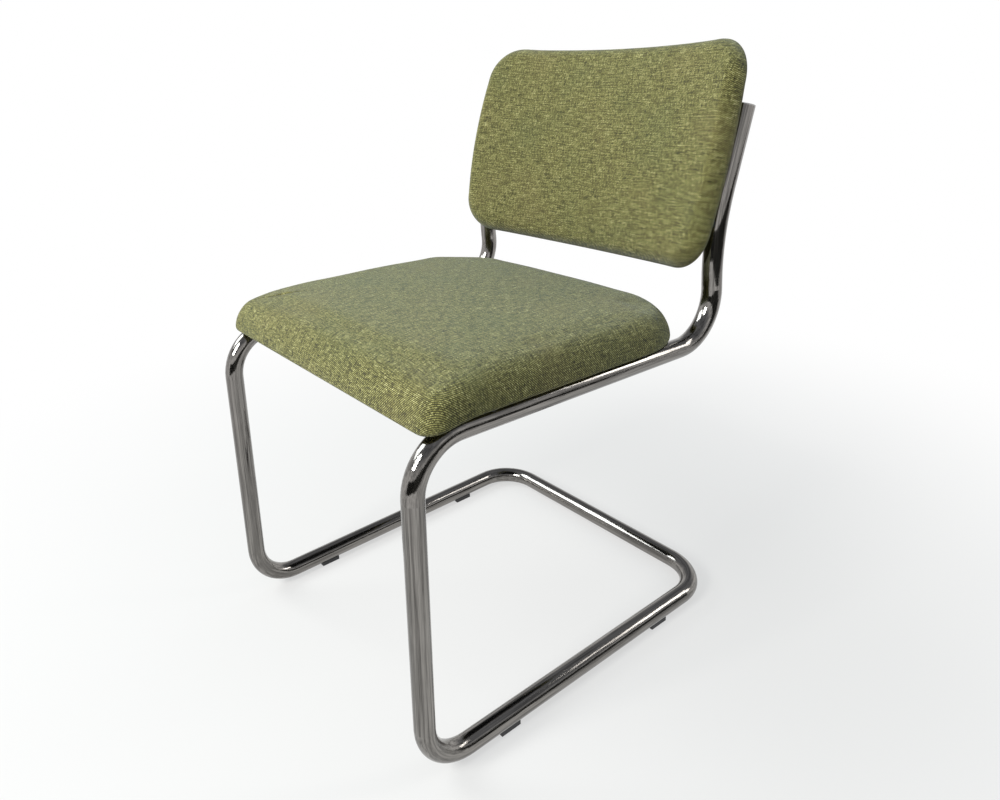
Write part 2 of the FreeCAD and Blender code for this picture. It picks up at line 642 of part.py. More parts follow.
CLOTH = (size("cloth"), "{cloth}")
SKIN = (size("cloth") + size("soft_clearance"), "({cloth} + {soft_clearance})")


def raised(pair, alias, sign=1):
    """The pair of a number and a formula, moved by a size of the sheet."""
    number = pair[0] + sign * size(alias)
    return number, "(" + pair[1] + (" + {" if sign > 0 else " - {") + alias + "})"


def layers(part, slab, low_round, fold):
    """The slabs of one pad: panel, the panel's room in the foam, closing cloth and its window."""
    nothing = (0.0, "0")
    room_side = raised((size(low_round), "{" + low_round + "}"), "soft_clearance")
    panel_side = raised(room_side, "soft_clearance")
    top = raised(SKIN, part + "_panel")
    fold_side = (size(fold), "{" + fold + "}")
    cloth_side = raised(fold_side, "soft_clearance")
    below = (-3.0, "(0 - 3)")
    return (
        slab(part + "PanelBlank", SKIN, top, panel_side),
        slab(part + "PanelRoom", below, raised(top, "soft_clearance"), room_side),
        slab(part + "ClothBlank", nothing, CLOTH, cloth_side),
        slab(part + "Window", below, raised(CLOTH, "soft_clearance"), fold_side),
    )


seat_blank, seat_room, seat_under_cloth, seat_window = layers("seat", seat_slab, "seat_low_round", "seat_fold")
back_blank, back_room, back_rear_cloth, back_window = layers("back", back_slab, "back_low_round", "back_fold")

cut("seat_panel", seat_blank, seat_panel_drills)
cut("back_panel", back_blank, back_panel_drills)
seat_under_cloth.Label = "seat_under_cloth"
cut("back_rear_cloth", back_rear_cloth, back_cloth_drills)


# The padded forms: a loft through sections of lines and arcs that follow the crown,
# the rounded edges and the rounded corners

def edge_through(first, middle, last):
    """An arc through three points, or a line where they are in line."""
    if (middle - first).cross(last - first).Length < 1e-9 * (last - first).Length ** 2:
        return Part.LineSegment(first, last).toShape()
    return Part.Arc(first, middle, last).toShape()


def crown_circle(half, rise, rounding):
    """Radius of the circle that crowns a width and meets both rounded edges without a step.

    The edge's circle has its centre at (half - rounding, 0); the crown passes (0, rise).
    """
    span = half - rounding
    return (span ** 2 + rise ** 2 - rounding ** 2) / (2 * (rise - rounding))


def crown_height(distance, length, rise, rounding):
    """Height of a crowned profile at a distance from its end."""
    radius = crown_circle(length / 2, rise, rounding)
    across = abs(distance - length / 2)
    drop = rise - radius
    meeting = (length / 2 - rounding) * radius / (radius - rounding)
    if across <= meeting:
        return drop + math.sqrt(radius ** 2 - across ** 2)
    edge = across - (length / 2 - rounding)
    return math.sqrt(max(rounding ** 2 - edge ** 2, 0))


def stations(length, top, first_corner, last_corner):
    """Distances along the pad at which it has a section, closer together where it turns."""
    found = []
    for corner in (first_corner, last_corner):
        steps = [0.4]
        steps += [top * (1 - math.cos(math.radians(turn))) for turn in (22, 40, 56, 72, 90)]
        arc = [corner * (1 - math.cos(math.radians(turn))) for turn in (40, 50, 60, 70, 80, 90)]
        steps += [step for step in arc if step > top * 1.25]
        found.append(steps)
    first, last = found[0][-1], length - found[1][-1]
    count = max(2, math.ceil((last - first) / 28))
    inner = [first + (last - first) * number / count for number in range(1, count)]
    return found[0] + inner + [length - step for step in reversed(found[1])]


def padded_form(name, sizes, inset, place, placement):
    """A crowned pad with drawn-in sides; inset makes the same form smaller all round."""
    half, length, first_corner, last_corner, low, top, height, bow = sizes
    wires = []
    for station in stations(length, top, first_corner, last_corner):
        share = (station - length / 2) / (length / 2)
        squeezed = inset + station * (length - 2 * inset) / length
        wide = half - inset + bow * (1 - share ** 2)
        for corner, distance in ((first_corner, squeezed), (last_corner, length - squeezed)):
            turn = corner - inset
            gone = distance - inset
            if gone < turn:
                wide -= turn - math.sqrt(turn ** 2 - (turn - gone) ** 2)
        gone = min(squeezed, length - squeezed) - inset
        lower = low - inset
        bottom = low - lower if gone >= lower else low - math.sqrt(lower ** 2 - (lower - gone) ** 2)
        rise = crown_height(squeezed - inset, length - 2 * inset, height - low - inset, top - inset)
        below = low - bottom
        above = min(top - inset, 0.9 * rise)
        radius = crown_circle(wide, rise, above)
        slope = math.atan2(wide - above, radius - rise)
        diagonal = math.sqrt(0.5)
        half_turn = math.pi / 4 + slope / 2
        right = [
            Vector(wide - below, bottom, 0),
            Vector(wide - below + below * diagonal, low - below * diagonal, 0),
            Vector(wide, low, 0),
            Vector(wide - above + above * math.sin(half_turn), low + above * math.cos(half_turn), 0),
            Vector(wide - above + above * math.sin(slope), low + above * math.cos(slope), 0),
        ]
        left = [Vector(-point.x, point.y, 0) for point in reversed(right)]
        crown = Vector(0, low + rise, 0)
        ring = right + [crown] + left + [Vector(0, bottom, 0), right[0]]
        spots = [place(point.x, squeezed, point.y) for point in ring]
        edges = [edge_through(*spots[n:n + 3]) for n in range(0, len(spots) - 2, 2)]
        wires.append(Part.Wire(edges))
    form = doc.addObject("Part::Feature", name)
    form.Shape = Part.makeLoft(wires, True, False, False, 5)
    form.Placement = placement
    return form


def seat_spot(across, distance, height):
    """A place in the seat pad, falling to the front along the droop's arc."""
    gone = size("droop_length") - distance
    if gone <= 0:
        return Vector(across, distance, height)
    reach = size("droop_radius") + height
    return Vector(across, distance, math.sqrt(reach ** 2 - gone ** 2) - size("droop_radius"))


def back_spot(across, distance, depth):
    """A place in the back pad, bent round the hollow's axis."""
    turn = across / size("back_curve")
    reach = size("back_curve") - depth
    return Vector(reach * math.sin(turn), reach * math.cos(turn) - size("back_curve"), distance)


SEAT_SIZES = (SEAT_WIDTH[0] / 2, size("seat_depth"), size("seat_front_radius"), size("seat_rear_radius"),
              size("seat_low_round"), size("seat_top_round"), size("seat_height"), size("seat_bow"))
BACK_SIZES = (BACK_WIDTH[0] / 2, size("back_height"), size("back_corner_radius"), size("back_corner_radius"),
              size("back_low_round"), size("back_top_round"), size("back_depth"), size("back_bow"))


def upholstery(part, sizes, place, placement, window, cloth_drills, room):
    """The cover, open where its fold ends, and the foam between it and the panel."""
    outside = padded_form(part + "Outside", sizes, 0, place, placement)
    inside = padded_form(part + "Inside", sizes, size("cloth"), place, placement)
    core = padded_form(part + "Core", sizes, size("cloth") + size("soft_clearance"), place, placement)
    shell = cut(part + "Shell", outside, inside)
    cut(part + "_cover", cut(part + "OpenShell", shell, window), cloth_drills)
    cut(part + "_foam", core, room)


upholstery("seat", SEAT_SIZES, seat_spot, PAD_PLACE, seat_window, seat_cloth_drills, seat_room)
upholstery("back", BACK_SIZES, back_spot, BACK_PLACE, back_window, back_cloth_drills, back_room)

doc.recompute()

# Checks and export

NODES = [
    "frame_tube", "end_caps", "front_glides", "rear_glides",
    "seat_panel", "seat_foam", "seat_cover", "seat_under_cloth",
    "seat_spacers", "seat_bolts", "seat_tee_nuts",
    "back_panel", "back_foam", "back_cover", "back_rear_cloth",
    "back_spacers", "back_bolts", "back_tee_nuts",
]

for item in doc.Objects:
    if "Invalid" in item.State or "Error" in item.State:
        raise RuntimeError("%s did not build: %s" % (item.Label, item.State))

# the bolts miss the back cover's narrow fold, so its drilling may take nothing
for item in doc.Objects:
    if item.TypeId == "Part::Cut" and item.Label != "back_cover":
        if item.Shape.Volume > item.Base.Shape.Volume - 0.1:
            raise RuntimeError("%s took nothing off its base" % item.Label)

os.makedirs("parts", exist_ok=True)
whole = FreeCAD.BoundBox()
for node in NODES:
    item = doc.getObjectsByLabel(node)[0]
    shape = item.Shape
    if shape.isNull() or not shape.isValid():
        raise RuntimeError(node + " has no sound shape")
    whole.add(shape.BoundBox)
    shape.exportStep("parts/%s.step" % node)
    print("%-18s %d solids, %.1f cm3" % (node, len(shape.Solids), shape.Volume / 1000))
print("whole part X %.1f to %.1f, Y %.1f to %.1f, Z %.1f to %.1f mm" % (
    whole.XMin, whole.XMax, whole.YMin, whole.YMax, whole.ZMin, whole.ZMax))
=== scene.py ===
import math

import bpy
import numpy as np
from mathutils import Matrix, Vector


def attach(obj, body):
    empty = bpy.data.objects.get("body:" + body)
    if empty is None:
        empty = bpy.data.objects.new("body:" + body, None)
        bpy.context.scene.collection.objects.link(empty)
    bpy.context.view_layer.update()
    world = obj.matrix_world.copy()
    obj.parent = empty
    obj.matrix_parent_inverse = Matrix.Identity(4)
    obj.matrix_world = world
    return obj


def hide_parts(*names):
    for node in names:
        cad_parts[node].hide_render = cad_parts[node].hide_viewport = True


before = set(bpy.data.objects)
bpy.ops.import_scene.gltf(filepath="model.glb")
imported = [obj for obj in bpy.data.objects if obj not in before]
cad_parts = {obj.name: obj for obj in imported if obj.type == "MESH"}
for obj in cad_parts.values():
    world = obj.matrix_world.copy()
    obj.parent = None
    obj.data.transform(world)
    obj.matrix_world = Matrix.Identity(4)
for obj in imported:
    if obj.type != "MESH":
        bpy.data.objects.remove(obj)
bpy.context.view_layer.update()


# ---------------------------------------------------------------------------------------
# Camera: a photographer standing at the chair's left front corner, a little above the back,
# with the lens shifted so that the chair sits low and to the right of the optical axis.

PICTURE_WIDTH, PICTURE_HEIGHT = 1000, 800
FOCAL_PIXELS = 774.98
AXIS_PIXEL = (403.99, 310)
FILM_WIDTH = 36
EYE = (0.76022, -0.64864, 0.78245)

turned, tilted, leaned = math.radians(55.304), math.radians(-18.439), math.radians(-3.654)
ahead = Vector((-math.sin(turned) * math.cos(tilted),
                math.cos(turned) * math.cos(tilted), math.sin(tilted)))
level = Vector((math.cos(turned), math.sin(turned), 0))
upward = level.cross(ahead)
right = level * math.cos(leaned) + upward * math.sin(leaned)
upright = upward * math.cos(leaned) - level * math.sin(leaned)
lens = bpy.data.cameras.new("photo_lens")
lens.sensor_width = FILM_WIDTH
lens.lens = FOCAL_PIXELS / PICTURE_WIDTH * FILM_WIDTH
lens.shift_x = (PICTURE_WIDTH / 2 - AXIS_PIXEL[0]) / PICTURE_WIDTH
lens.shift_y = (AXIS_PIXEL[1] - PICTURE_HEIGHT / 2) / PICTURE_WIDTH
camera = bpy.data.objects.new("photo_camera", lens)
bpy.context.scene.collection.objects.link(camera)
camera.matrix_world = Matrix(
    [(right[row], upright[row], -ahead[row], EYE[row]) for row in range(3)] + [(0, 0, 0, 1)])
bpy.context.scene.camera = camera


# ---------------------------------------------------------------------------------------
# Frame: one round steel tube, bent cold and chrome plated, then polished by hand along
# its length. The plating is a mirror with faint polishing lines and a few matt spots, and
# its colour carries painted dark bands along the tube, a painted dark reflection.

class Value:
    """A socket of a finish, on which Python's operators stand for Math nodes."""

    def __init__(self, finish, socket):
        self.finish = finish
        self.socket = socket

    def math(self, operation, *others):
        """One Math node on this socket and the others."""
        return self.finish.node("ShaderNodeMath", {"operation": operation}, self, *others)

    def __add__(self, other):
        return self.math("ADD", other)

    def __sub__(self, other):
        return self.math("SUBTRACT", other)

    def __rsub__(self, other):
        return self.finish.node("ShaderNodeMath", {"operation": "SUBTRACT"}, other, self)

    def __mul__(self, other):
        return self.math("MULTIPLY", other)

    def __truediv__(self, other):
        return self.math("DIVIDE", other)

    __radd__ = __add__
    __rmul__ = __mul__


class Finish:
    """A material, or the world, under construction out of shader nodes."""

    def __init__(self, name, held_in=None):
        self.material = held_in or bpy.data.materials.new(name)
        self.material.use_nodes = True
        self.tree = self.material.node_tree
        self.tree.nodes.clear()

    def node(self, kind, settings, *values, out=0, **named):
        """Adds a node and hands back one of its outputs.

        Settings are set first. Values or links follow by place, where None leaves a socket as
        it is, or by the socket's name with _ for a space.
        """
        made = self.tree.nodes.new(kind)
        for key, setting in settings.items():
            if key == "stops":
                ramp = made.color_ramp
                while len(ramp.elements) < len(setting):
                    ramp.elements.new(0.5)
                for element, (spot, colour) in zip(ramp.elements, setting):
                    element.position = spot
                    element.color = colour + (1,)
            else:
                setattr(made, key, setting)
        pairs = list(enumerate(values))
        pairs += [(key.replace("_", " "), value) for key, value in named.items()]
        for key, value in pairs:
            if isinstance(value, Value):
                self.tree.links.new(value.socket, made.inputs[key])
            elif value is not None:
                made.inputs[key].default_value = value
        return Value(self, made.outputs[out]) if len(made.outputs) else None

    def place(self):
        """Object coordinates."""
        return self.node("ShaderNodeTexCoord", {}, out="Object")

    def split(self, vector):
        """The three numbers of a vector."""
        made = self.node("ShaderNodeSeparateXYZ", {}, vector)
        return [Value(self, socket) for socket in made.socket.node.outputs]

    def noise(self, spot, scale, detail=2.0, rough=0.5):
        """Noise between 0 and 1 at a place."""
        return self.node("ShaderNodeTexNoise", {}, Vector=spot, Scale=scale, Detail=detail,
                         Roughness=rough)

    def stretched(self, spot, x, y, z):
        """The place scaled along its three axes."""
        return self.node("ShaderNodeVectorMath", {"operation": "MULTIPLY"}, spot, (x, y, z))

    def shifted(self, spot, step):
        """The place moved by a step, which is three numbers or another place."""
        return self.node("ShaderNodeVectorMath", {"operation": "ADD"}, spot, step)

    def between(self, low, value, high):
        """0 at low, 1 at high, smooth in between and level outside."""
        return self.node("ShaderNodeMapRange", {"interpolation_type": "SMOOTHSTEP"},
                         value, low, high)

    def blend(self, share, first, second):
        """Mixes two colours, which go to a Mix node's seventh and eighth sockets."""
        first, second = (c if isinstance(c, Value) else c + (1,) for c in (first, second))
        return self.node("ShaderNodeMix", {"data_type": "RGBA"},
                         share, None, None, None, None, None, first, second, out=2)

    def bumped(self, strength, depth, height):
        """The normal of a surface that a height from 0 to 1 dents by the depth in metres."""
        return self.node("ShaderNodeBump", {}, Strength=strength, Distance=depth, Height=height)

    def surface(self, **named):
        """The shader itself, joined to the material's output."""
        shader = self.node("ShaderNodeBsdfPrincipled", {}, **named)
        self.node("ShaderNodeOutputMaterial", {}, shader)
        return self.material


def scaled(colour, factor):
    """A colour times a factor, held below white."""
    return tuple(min(1.0, factor * part) for part in colour)


def polished_chrome(name, grey, wear_and_painted_dark):
    """Mirror plating: polishing lines, soft blooms, a few matt specks, painted dark bands.

    The surface's own normal doesn't change along a tube, so a noise on it, with a slow drift
    by place, is a set of lines that run along the tube round every bend. The lines roughen the
    plating and make its colour darker by the way each part faces, a painted dark reflection
    laid over the polishing lines. The last argument is how much of the lines, blooms and spots
    there is, in roughness and in the painted dark alike.
    """
    finish = Finish(name)
    spot = finish.place()
    normal = finish.node("ShaderNodeTexCoord", {}, out="Normal")
    drift = finish.shifted(normal, finish.stretched(spot, 0.9, 0.9, 0.9))
    broad_lines = finish.between(0.42, finish.noise(drift, 3.2, detail=2.0, rough=0.6), 0.58)
    fine_lines = finish.between(0.40, finish.noise(drift, 19.0, detail=2.0, rough=0.7), 0.62)
    bloom = finish.between(0.45, finish.noise(spot, 14.0, detail=3.0, rough=0.55), 0.75)
    specks = finish.between(0.68, finish.noise(spot, 420.0, detail=1.0), 0.78)
    dull_and_painted_dark = (broad_lines * 0.5 + fine_lines * 0.5) * wear_and_painted_dark
    rough = 0.03 + dull_and_painted_dark * 0.07 + bloom * 0.06 * wear_and_painted_dark + specks * 0.12 * wear_and_painted_dark
    # painted dark reflection: the plating's colour goes darker along the lines, by the way each
    # part faces
    painted_reflection_dark = (dull_and_painted_dark * 0.95 + bloom * 0.1).math("MINIMUM", 1.0)
    tone = finish.blend(painted_reflection_dark, grey, scaled(grey, 0.34))
    dent = finish.bumped(0.10 * wear_and_painted_dark, 0.0002, fine_lines + bloom)
    return finish.surface(Base_Color=tone, Metallic=1.0, Roughness=rough, Normal=dent)


def dress(material, *nodes):
    """Gives carried-over nodes their finish."""
    for node in nodes:
        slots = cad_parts[node].data.materials
        for number in range(len(slots)):
            slots[number] = material


# the tube's colour carries the painted dark reflection at full strength
dress(polished_chrome("chrome_tube", (0.30, 0.285, 0.268), wear_and_painted_dark=1.0), "frame_tube")


# ---------------------------------------------------------------------------------------
# End caps: steel discs with a short stem, plated like the tube, that close its two open
# upper ends. The stem is pressed into the bore until the disc's rim lies on the tube's end.

# the caps carry the same painted dark reflection, fainter
dress(polished_chrome("chrome_cap", (0.42, 0.41, 0.40), wear_and_painted_dark=0.6), "end_caps")


# ---------------------------------------------------------------------------------------
# Floor glides: shoes moulded of black nylon, each with a peg that is pressed into a hole in
# the underside of a runner. They are scuffed where they slide.

def moulded(name, colour, rough, grain):
    """Moulded plastic or rubber: fine pebbling, slight clouds of colour and of gloss."""
    finish = Finish(name)
    spot = finish.place()
    cloud = finish.noise(spot, 60.0, detail=3.0)
    pebble = finish.noise(spot, grain, detail=2.0, rough=0.6)
    tone = finish.blend(cloud, scaled(colour, 0.7), scaled(colour, 1.5))
    dent = finish.bumped(0.25, 0.0002, pebble)
    return finish.surface(Base_Color=tone, Roughness=rough + cloud * 0.2, Normal=dent)


shoe = moulded("glide_nylon", (0.028, 0.028, 0.030), rough=0.42, grain=1400.0)
dress(shoe, "front_glides", "rear_glides")


# ---------------------------------------------------------------------------------------
# Spacers: saddles moulded of black rubber that sit on the tube round each bolt. They carry
# the pads and keep their panels off the chrome.

rubber = moulded("spacer_rubber_black", (0.018, 0.018, 0.018), rough=0.62, grain=900.0)
dress(rubber, "seat_spacers", "back_spacers")


# ---------------------------------------------------------------------------------------
# Bolts and tee nuts: chromed steel bolts, countersunk into the tube, pass through it and its
# spacers into zinc plated steel nuts, which are pressed into the panels from inside.

# bolts and nuts carry the same painted dark reflection, the nuts the most
bolt_chrome = polished_chrome("chrome_bolt", (0.52, 0.51, 0.50), wear_and_painted_dark=0.8)
zinc = polished_chrome("zinc_nut", (0.42, 0.42, 0.39), wear_and_painted_dark=2.0)
dress(bolt_chrome, "seat_bolts", "back_bolts")
dress(zinc, "seat_tee_nuts", "back_tee_nuts")


# ---------------------------------------------------------------------------------------
# Panels: beech plywood, moulded in a press to the seat's droop and the back's hollow, left
# raw, with its grain across the chair. They carry the foam and take the staples and nuts.

def plywood():
    """Raw veneer: fine grain lines drawn out across the chair, in broad wavering bands."""
    finish = Finish("beech_plywood")
    spot = finish.place()
    sway = finish.noise(finish.stretched(spot, 2, 14, 14), 1.0, detail=3.0)
    grain = finish.noise(finish.stretched(spot, 6, 260, 260), 1.0, detail=3.0, rough=0.6)
    tone = finish.blend(grain, (0.50, 0.33, 0.18), (0.66, 0.49, 0.30))
    tone = finish.blend(sway * 0.5, tone, (0.42, 0.26, 0.13))
    dent = finish.bumped(0.2, 0.0002, grain)
    return finish.surface(Base_Color=tone, Roughness=0.62 + grain * 0.15, Normal=dent)


dress(plywood(), "seat_panel", "back_panel")


# ---------------------------------------------------------------------------------------
# Seat pad: foam on the moulded panel under one piece of coarse melange cloth, drawn round
# the edges and stapled beneath. It is crowned, its rear corners are wide, its front falls.

# The pad's half width, length, corner radii in plan, lower and upper rounding, height at the
# crown and bow of its sides, in metres; then its place, its slope and the fall of its front.
SEAT_PAD = {"half": 0.2345, "length": 0.440, "front": 0.028, "rear": 0.110,
            "low": 0.009, "top": 0.027, "height": 0.053, "bow": 0.0}
SEAT_AT = np.array([0.0, -0.26394, 0.43738])
SEAT_FALL = math.radians(-2.1)
DROOP_LENGTH, DROOP_RADIUS = 0.070, 0.200

# Rings of points over each rounding, the length of cloth from the underside's rim to its
# middle, the swelling, and the share of the lower rounding below which the cover is stapled.
UPPER_RINGS, LOWER_RINGS, CLOTH_BELOW = 8, 4, 0.2
PRESSURE, SWELL_FRAMES, FOAM_ROUNDS, HELD_BELOW = 4.0, 20, 40, 0.4
TINY, SLACK = 1e-9, 1e-6


def rounded_outline(steps, half, length, front, rear, bow, inset):
    """The pad seen from above, as points and outward normals, steps to a side.

    A rectangle whose corners are arcs: each of the four sides takes a quarter of the points,
    which run from the middle of one corner arc to the middle of the next, evenly by length.
    The straight sides bow outward by a parabola. inset moves the line inward along its normal.
    """
    points, normals = [], []
    corners = (  # centre and radius, in the order of travel, starting at the front right
        (half - front, front, front, -45), (half - rear, length - rear, rear, 45),
        (rear - half, length - rear, rear, 135), (front - half, front, front, 225))
    for number in range(4):
        x0, y0, r0, angle = corners[number]
        x1, y1, r1, _ = corners[(number + 1) % 4]
        run = math.hypot(x1 - x0, y1 - y0)
        whole = r0 * math.pi / 4 + run + r1 * math.pi / 4
        way = np.arange(steps) / steps * whole
        first = np.clip(way / r0, 0, math.pi / 4)
        last = np.clip((way - r0 * math.pi / 4 - run) / r1, 0, math.pi / 4)
        turn = np.radians(angle) + first + last
        normal = np.stack([np.cos(turn), np.sin(turn)], 1)
        share = np.clip((way - r0 * math.pi / 4) / run, 0, 1)[:, None]
        centre = np.array([[x0, y0]]) * (1 - share) + np.array([[x1, y1]]) * share
        radius = r0 * (1 - share) + r1 * share
        side = np.array([[abs(math.cos(np.radians(angle + 45))), 0]])
        bulge = 4 * share * (1 - share) * bow * side * np.sign(normal[:, :1])
        points.append(centre + normal * radius + bulge)
        normals.append(normal)
    points, normals = np.concatenate(points), np.concatenate(normals)
    return points - normals * inset, normals


def square_grid(steps):
    """A square's grid: each point's share of the way out and its place on the outline.

    Point (a, b) from -1 to 1 lies on the square ring of size max(|a|, |b|); how far round that
    ring it lies, counted in steps, is its place on the outline. rim lists the outer points.
    """
    line = np.arange(steps + 1) * 2 / steps - 1
    a, b = np.meshgrid(line, line, indexing="ij")
    share = np.maximum(np.maximum(np.abs(a), np.abs(b)), TINY)
    a, b = a / share, b / share
    edge = 1 - SLACK
    way_round = np.select([a > edge, b > edge, a < -edge], [1 + b, 3 - a, 5 - b], 7 + a)
    number = np.arange(steps)
    rim = np.concatenate([steps * (steps + 1) + number, (steps - number) * (steps + 1) + steps,
                          steps - number, number * (steps + 1)])
    return share.ravel(), (way_round * steps / 2).ravel(), rim


def on_outline(line, spot):
    """The line's points at places counted in steps, straight between neighbours."""
    first = np.floor(spot + SLACK).astype(int)
    part = np.clip(spot - first, 0, 1)[:, None]
    return line[first % len(line)] * (1 - part) + line[(first + 1) % len(line)] * part


def closed_faces(steps, walls, rim):
    """The faces of a closed skin: a square grid, rings of points round its rim, and a second
    grid beneath, turned over. Each ring is joined to the next by one band of squares."""
    around, inside = 4 * steps, (steps + 1) ** 2
    below = inside + walls * around
    rings = [rim] + [inside + number * around + np.arange(around) for number in range(walls)]
    rings.append(below + rim)
    bands = [np.stack([upper, lower, np.roll(lower, -1), np.roll(upper, -1)], 1)
             for upper, lower in zip(rings, rings[1:])]
    cell = (np.arange(steps)[:, None] * (steps + 1) + np.arange(steps)[None, :]).ravel()
    top_faces = np.stack([cell, cell + steps + 1, cell + steps + 2, cell + 1], 1)
    return np.concatenate([top_faces] + bands + [top_faces[:, ::-1] + below]).tolist()


def pad_form(steps, sink, half, length, front, rear, low, top, height, bow):
    """Flat places (across, along, height) of a pad's closed skin, its cloth coordinates and
    its faces.

    A grid of square rings scales the inset outline towards the middle; from its rim further
    rings turn down over the upper rounding and the lower one, and a second grid closes the
    underside. The crown adds rise * (1 - 0.6 (x^2 + y^2) + 0.2 x^2 y^2), all of it in the
    middle, two fifths halfway along each side and none at the corners. The cloth's
    coordinates are the plan inside the rounding and go on outward along the normal by the
    length of the skin beyond it. sink draws the edges and the top inward.
    """
    half, length, height = half - sink, length - 2 * sink, height - sink
    front, rear, low, top = front - sink, rear - sink, low - sink * 0.5, top - sink * 0.5
    middle = np.array([0.0, length / 2])
    rise = max(height - low - top, 0.0)
    share, spot, rim = square_grid(steps)
    flat, normals = rounded_outline(steps, half, length, front, rear, bow, inset=top)
    under, _ = rounded_outline(steps, half, length, front, rear, bow, inset=low)
    edge, _ = rounded_outline(steps, half, length, front, rear, bow, inset=0.0)
    plans = [middle + (on_outline(flat, spot) - middle) * share[:, None]]
    heights = [np.full(len(share), low + top)]
    cloths = [plans[0]]
    quarter, skin = math.pi / 2, top * math.pi / 2
    turns = [(top, math.sin(angle), angle, top * (quarter - angle))
             for angle in np.linspace(quarter, 0, UPPER_RINGS + 1)[1:]]
    turns += [(low, -math.sin(angle), angle, skin + low * angle)
              for angle in np.linspace(0, quarter, LOWER_RINGS + 2)[1:-1]]
    for radius, lift, angle, gone in turns:
        plans.append(edge - normals * radius * (1 - math.cos(angle)))
        heights.append(np.full(len(edge), low + radius * lift))
        cloths.append(flat + normals * gone)
    plans.append(middle + (on_outline(under, spot) - middle) * share[:, None])
    heights.append(np.zeros(len(share)))
    gone = skin + low * math.pi / 2 + (1 - share[:, None]) * CLOTH_BELOW
    cloths.append(on_outline(flat, spot) + on_outline(normals, spot) * gone)
    plan, heights, cloth = map(np.concatenate, (plans, heights, cloths))
    x = np.clip(np.abs(plan[:, 0]) / half, 0, 1)
    y = np.clip(np.abs(plan[:, 1] - length / 2) / (length / 2), 0, 1)
    crown = rise * (1 - 0.6 * (x ** 2 + y ** 2) + 0.2 * x ** 2 * y ** 2)
    heights = heights + crown * np.clip((heights - low) / top, 0, 1)
    places = np.column_stack([plan, heights]) + np.array([0.0, sink, 0.0])
    return places, cloth + np.array([0.0, sink]), closed_faces(steps, len(turns), rim)


def mesh_piece(name, places, faces, material, cloth=None):
    """A smooth mesh object at the origin; cloth holds each vertex's cloth coordinates."""
    mesh = bpy.data.meshes.new(name)
    mesh.from_pydata(places.tolist(), [], faces)
    mesh.polygons.foreach_set("use_smooth", np.ones(len(mesh.polygons), bool))
    if cloth is not None:
        layer = mesh.uv_layers.new(name="cloth")
        index = np.zeros(len(mesh.loops), np.int32)
        mesh.loops.foreach_get("vertex_index", index)
        layer.data.foreach_set("uv", cloth[index].astype(np.float32).ravel())
    mesh.update()
    mesh.materials.append(material)
    piece = bpy.data.objects.new(name, mesh)
    bpy.context.scene.collection.objects.link(piece)
    return piece


def puffed(piece, held, cap):
    """Lets the skin swell like a filled cover: cloth under pressure for some frames, then each
    vertex keeps its own move, averaged many times with its neighbours' as the foam under it
    does, and shortened to the cap. held vertices stay where they are."""
    scene = bpy.context.scene
    count = len(piece.data.vertices)
    rest, moved = np.zeros(count * 3, np.float32), np.zeros(count * 3, np.float32)
    piece.data.vertices.foreach_get("co", rest)
    group = piece.vertex_groups.new(name="held")
    group.add(np.nonzero(held)[0].tolist(), 1.0, "REPLACE")
    cloth = piece.modifiers.new("swell", "CLOTH")
    cloth.settings.quality = 6
    cloth.settings.mass = 0.4
    cloth.settings.tension_stiffness = 25
    cloth.settings.compression_stiffness = 25
    cloth.settings.shear_stiffness = 12
    cloth.settings.bending_stiffness = 2.0
    cloth.settings.use_pressure = True
    cloth.settings.uniform_pressure_force = PRESSURE
    cloth.settings.effector_weights.gravity = 0
    cloth.settings.vertex_group_mass = group.name
    cloth.collision_settings.use_self_collision = False
    for number in range(1, SWELL_FRAMES + 1):
        scene.frame_set(number)
    shown = piece.evaluated_get(bpy.context.evaluated_depsgraph_get())
    shown.data.vertices.foreach_get("co", moved)
    piece.modifiers.remove(cloth)
    piece.vertex_groups.remove(group)
    scene.frame_set(1)
    step = (moved - rest).reshape(-1, 3)
    ends = np.zeros(len(piece.data.edges) * 2, np.int32)
    piece.data.edges.foreach_get("vertices", ends)
    one, other = ends.reshape(-1, 2).T
    near = np.bincount(ends, minlength=count)[:, None]
    for _ in range(FOAM_ROUNDS):
        sums = np.stack([np.bincount(one, step[other, axis], count)
                         + np.bincount(other, step[one, axis], count) for axis in range(3)], 1)
        step = np.where(held[:, None], 0.0, (step + sums / near) / 2)
    length = np.linalg.norm(step, axis=1, keepdims=True)
    step *= np.minimum(1, cap / np.maximum(length, TINY))
    piece.data.vertices.foreach_set("co", (rest.reshape(-1, 3) + step).ravel())
    piece.data.update()


# The cloth: from the middle of one thread to the next, the colours of its yarns, and the
# painted shade in the gaps between its threads.
THREAD = 0.0014
YARN_SHADES = [(0.35, (0.035, 0.028, 0.006)), (0.43, (0.108, 0.096, 0.021)),
               (0.50, (0.210, 0.192, 0.051)), (0.57, (0.345, 0.318, 0.106)),
               (0.66, (0.600, 0.555, 0.250))]
TAN_PATCH, GREEN_PATCH = (0.290, 0.225, 0.080), (0.125, 0.155, 0.050)
GAP_PAINTED_SHADE = (0.016, 0.014, 0.005)


